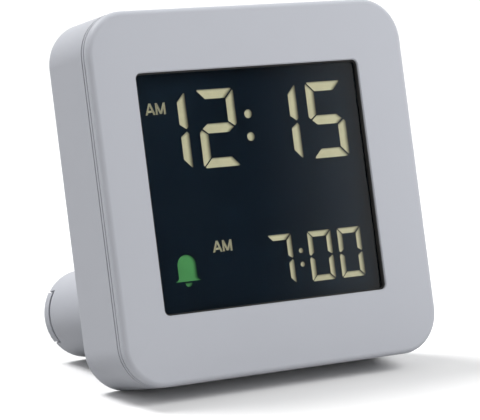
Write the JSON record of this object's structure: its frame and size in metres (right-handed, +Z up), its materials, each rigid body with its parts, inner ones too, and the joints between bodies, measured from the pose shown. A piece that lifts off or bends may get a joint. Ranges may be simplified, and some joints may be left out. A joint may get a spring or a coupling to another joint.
{
  "type": "digital alarm clock",
  "caption": "Small square digital alarm clock that leans back on its battery box, with a large backlit display, snooze bar, setting keys, alarm slider and sliding battery door.",
  "frame": {"origin": "on the supporting surface, under the middle of the clock's box", "axes": "+Z up; the display faces -Y and leans back; +X to the right of someone reading the clock"},
  "size_m": [0.075, 0.0506, 0.0766],
  "materials": {
    "case_plastic": "fine matt moulded plastic, pale blue-grey",
    "clear_window": "clear polished plastic",
    "display_glass": "dark glass of a reversed display",
    "guide_plastic": "frosted light guide",
    "white_plastic": "white moulded plastic",
    "contact_rubber": "soft striped rubber",
    "circuit_board": "green solder mask",
    "lamp_plastic": "lamp in a pale resin body",
    "black_resin": "cured black resin",
    "crystal_steel": "drawn metal can",
    "black_plastic": "black moulded plastic",
    "key_plastic": "fine matt plastic, a shade darker than the case",
    "switch_plastic": "natural moulded plastic",
    "slider_plastic": "dark moulded plastic",
    "cell_sleeve": "plain printed sleeve without words",
    "contact_steel": "nickel-plated sheet",
    "foot_rubber": "soft dark rubber",
    "screw_steel": "zinc-plated steel"
  },
  "bodies": {
    "clock_body": {"front_bezel": "case_plastic", "rear_case": "case_plastic", "display_window": "clear_window", "lcd_panel": "display_glass", "light_guide": "guide_plastic", "lcd_holder": "white_plastic", "zebra_strip": "contact_rubber", "main_board": "circuit_board", "backlight_leds": "lamp_plastic", "chip_dome": "black_resin", "crystal_can": "crystal_steel", "sounder": "black_plastic", "snooze_switch": "black_plastic", "key_switches": "black_plastic", "alarm_switch": "black_plastic", "battery_front": "cell_sleeve", "battery_rear": "cell_sleeve", "positive_contact": "contact_steel", "negative_contact": "contact_steel", "link_contact": "contact_steel", "stand_foot": "foot_rubber", "case_screws": "screw_steel", "board_screws": "screw_steel"},
    "snooze_bar_body": {"snooze_bar": "key_plastic", "snooze_plunger": "switch_plastic"},
    "time_key_body": {"time_key": "key_plastic", "time_plunger": "switch_plastic"},
    "alarm_key_body": {"alarm_key": "key_plastic", "alarm_plunger": "switch_plastic"},
    "minus_key_body": {"minus_key": "key_plastic", "minus_plunger": "switch_plastic"},
    "plus_key_body": {"plus_key": "key_plastic", "plus_plunger": "switch_plastic"},
    "alarm_slider_body": {"alarm_slider": "slider_plastic", "alarm_switch_lever": "switch_plastic"},
    "battery_door_body": {"battery_door": "case_plastic"}
  },
  "joints": [
    {"name": "snooze_press", "type": "slide", "parent": "clock_body", "child": "snooze_bar_body", "axis": [0, -0.2402, -0.9707], "range_m": [0, 0.0008], "stiffness_N_per_m": 1200, "springref_m": -0.0003},
    {"name": "time_press", "type": "slide", "parent": "clock_body", "child": "time_key_body", "axis": [0, -0.9707, 0.2402], "range_m": [0, 0.0006], "stiffness_N_per_m": 1500, "springref_m": -0.0002},
    {"name": "alarm_press", "type": "slide", "parent": "clock_body", "child": "alarm_key_body", "axis": [0, -0.9707, 0.2402], "range_m": [0, 0.0006], "stiffness_N_per_m": 1500, "springref_m": -0.0002},
    {"name": "minus_press", "type": "slide", "parent": "clock_body", "child": "minus_key_body", "axis": [0, -0.9707, 0.2402], "range_m": [0, 0.0006], "stiffness_N_per_m": 1500, "springref_m": -0.0002},
    {"name": "plus_press", "type": "slide", "parent": "clock_body", "child": "plus_key_body", "axis": [0, -0.9707, 0.2402], "range_m": [0, 0.0006], "stiffness_N_per_m": 1500, "springref_m": -0.0002},
    {"name": "alarm_switch_slide", "type": "slide", "parent": "clock_body", "child": "alarm_slider_body", "axis": [1, 0, 0], "range_m": [0, 0.004]},
    {"name": "battery_door_slide", "type": "slide", "parent": "clock_body", "child": "battery_door_body", "axis": [0, 0.9707, -0.2402], "range_m": [0, 0.012]}
  ]
}
